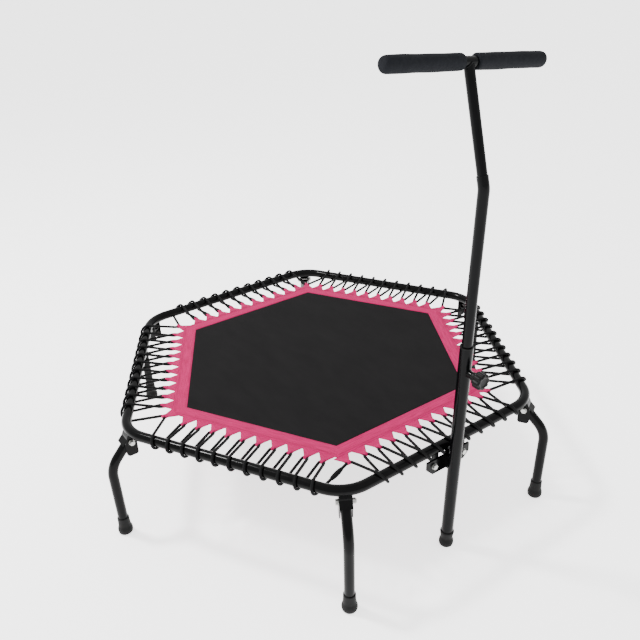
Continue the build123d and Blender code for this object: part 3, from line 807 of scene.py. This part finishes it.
def make_grip(label, sign):
    """Foam sleeve: rounded closed end, softer chamfer beside the stem, slight swell."""
    inner, outer, r = 0.0185, 0.2205, 0.017
    profile = [
        (0.0112, inner), (0.0112, inner), (0.0140, inner + 0.0003), (0.0158, inner + 0.002),
        (0.0165, inner + 0.006), (0.0168, inner + 0.02), (0.0170, inner + 0.06), (0.0169, inner + 0.12),
        (0.0171, outer - 0.05), (r, outer - 0.016), (0.0166, outer - 0.009), (0.0153, outer - 0.0045),
        (0.0125, outer - 0.0015), (0.008, outer - 0.0004), (0.004, outer - 0.0001), (0.0006, outer),
    ]

    def radius_at(radius, height, turn):
        swell = 0.00022 * math.sin(3 * turn + height * 41) + 0.00018 * math.sin(height * 88 + sign)
        return radius + swell * min(1.0, radius / 0.014)

    made = lathe(f"foam_{label}", BAR_CENTRE, BAR_AXIS * sign, profile, FOAM, "grip_foam", 56, radius_at)
    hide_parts(label)
    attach(made, "handle")


make_grip("grip_left", -1)
make_grip("grip_right", 1)


def make_knob():
    """Eight-lobed knob with rounded rims and a dished face."""
    start, hub_end, end = 0.0282, 0.040, 0.063
    origin = POST_FLOOR + POST_AXIS * KNOB_AT
    profile = [
        (0.0042, start), (0.0042, start), (0.0104, start), (0.0104, start), (0.011, start + 0.0008),
        (0.0112, hub_end - 0.004), (0.0125, hub_end - 0.0012), (0.0175, hub_end - 0.0006),
        (0.0200, hub_end + 0.001), (0.0209, hub_end + 0.004), (0.0210, hub_end + 0.011),
        (0.0206, end - 0.004), (0.0190, end - 0.001), (0.0165, end), (0.0120, end - 0.0008),
        (0.0100, end - 0.0022), (0.0060, end - 0.0026), (0.0005, end - 0.0027),
    ]

    def radius_at(radius, height, turn):
        lobe = 0.5 - 0.5 * math.cos(8 * turn)
        depth = 0.0034 * lobe ** 1.6
        reach = min(1.0, max(0.0, (radius - 0.0115) / 0.0065))
        return radius - depth * reach

    made = lathe("clamp_knob", origin, POST_FRONT, profile, PLASTIC, "black_plastic", 96, radius_at)
    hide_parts("knob")
    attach(made, "knob")


make_knob()


def weld(name, points, radius, body):
    """Bead of weld along a line of points, closed into a loop, with its ripples."""
    count = len(points)
    ring = 8
    verts = []
    centre = sum(points, Vector()) / count
    for i, place in enumerate(points):
        tangent = (points[(i + 1) % count] - points[i - 1]).normalized()
        normal = (place - centre)
        normal = (normal - tangent * normal.dot(tangent)).normalized()
        other = tangent.cross(normal)
        r = radius * (1 + 0.14 * math.sin(i * 2 * math.pi / 4) + rng.uniform(-0.05, 0.05))
        for j in range(ring):
            turn = 2 * math.pi * j / ring
            verts.append(place + (normal * math.cos(turn) + other * math.sin(turn)) * r)
    faces = grid_faces(count, ring, closed=True)
    for j in range(ring):
        k = (j + 1) % ring
        faces.append(((count - 1) * ring + j, (count - 1) * ring + k, k, j))
    made = add_mesh(name, verts, faces, HANDLE_PAINT, "handle_paint")
    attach(made, body)


bend_point = POST_FLOOR + POST_AXIS * HANDLE_BEND_AT
stem_axis = (BAR_CENTRE - bend_point).normalized()
stem_side = Vector((1, 0, 0))
stem_front = stem_axis.cross(stem_side).normalized()
loop = []
for i in range(64):
    turn = 2 * math.pi * i / 64
    x = 0.0113 * math.cos(turn)
    y = 0.0113 * math.sin(turn)
    drop = math.sqrt(max(0.0, 0.0115 ** 2 - y ** 2))
    loop.append(BAR_CENTRE + stem_side * x + stem_front * y - stem_axis * drop)
weld("weld_crossbar", loop, 0.0017, "handle")
loop = []
for i in range(48):
    turn = 2 * math.pi * i / 48
    across = 0.0094 * math.cos(turn)
    upward = 0.0094 * math.sin(turn)
    depth = math.sqrt(0.0160 ** 2 - across ** 2)
    loop.append(POST_FLOOR + POST_AXIS * (KNOB_AT + upward) + Vector((across, 0, 0)) + POST_FRONT * depth)
weld("weld_boss", loop, 0.0014, "frame")
step_loop = []
step_place = bend_point + stem_axis * 0.0262
for i in range(48):
    turn = 2 * math.pi * i / 48
    step_loop.append(step_place + (stem_side * math.cos(turn) + stem_front * math.sin(turn)) * 0.0118)
weld("weld_stem", step_loop, 0.0011, "handle")


# ------------------------------------------------------------------ stage, light and camera

def plain(name, colour, roughness):
    """White studio paper that gives off some light of its own."""
    n = Nodes(name, colour, roughness, Specular_IOR_Level=0.2, Emission_Strength=1.9,
              Emission_Color=(1, 1, 1, 1))
    _, place = n.position()
    cloud = n.noise(place, 1.5, detail=2)
    n.colour(n.ramp(cloud, [(0.0, tuple(c * 0.99 for c in colour)), (1.0, colour)]))
    return n.material


floor = add_mesh("floor", [(-40, -40, -0.0005), (40, -40, -0.0005), (40, 40, -0.0005), (-40, 40, -0.0005)],
                 [(0, 1, 2, 3)], plain("floor_paper", (0.93, 0.93, 0.93), 0.9), "mat_weave", smooth=False)
del floor["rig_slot"]

world = bpy.data.worlds.new("studio")
bpy.context.scene.world = world
world.use_nodes = True
world.node_tree.nodes["Background"].inputs["Color"].default_value = (1.0, 1.0, 1.0, 1)
world.node_tree.nodes["Background"].inputs["Strength"].default_value = 1.5


def area_light(name, place, target, size, power):
    data = bpy.data.lights.new(name, "AREA")
    data.shape = "RECTANGLE"
    data.size, data.size_y = size
    data.energy = power
    made = bpy.data.objects.new(name, data)
    made.location = place
    made.rotation_mode = "QUATERNION"
    made.rotation_quaternion = (Vector(target) - Vector(place)).to_track_quat("-Z", "Y")
    bpy.context.scene.collection.objects.link(made)


area_light("key", (-1.6, 1.6, 4.0), (0, 0, 0.3), (0.5, 0.5), 230)

camera_data = bpy.data.cameras.new("camera")
camera_data.sensor_width = 36
camera_data.lens = 41.09
camera = bpy.data.objects.new("camera", camera_data)
bpy.context.scene.collection.objects.link(camera)
bpy.context.scene.camera = camera
yaw, pitch, roll = (math.radians(v) for v in (55.47, -28.0, -1.93))
forward = Vector((math.cos(pitch) * math.cos(yaw), math.cos(pitch) * math.sin(yaw), math.sin(pitch)))
right = Vector((math.sin(yaw), -math.cos(yaw), 0))
up = right.cross(forward)
level_right = right * math.cos(roll) + up * math.sin(roll)
level_up = up * math.cos(roll) - right * math.sin(roll)
rotation = Matrix((level_right, level_up, -forward)).transposed()
camera.rotation_mode = "QUATERNION"
camera.rotation_quaternion = rotation.to_quaternion()
camera.location = Vector((CENTRE.x - 1.09283, CENTRE.y - 1.59655, 1.47484))
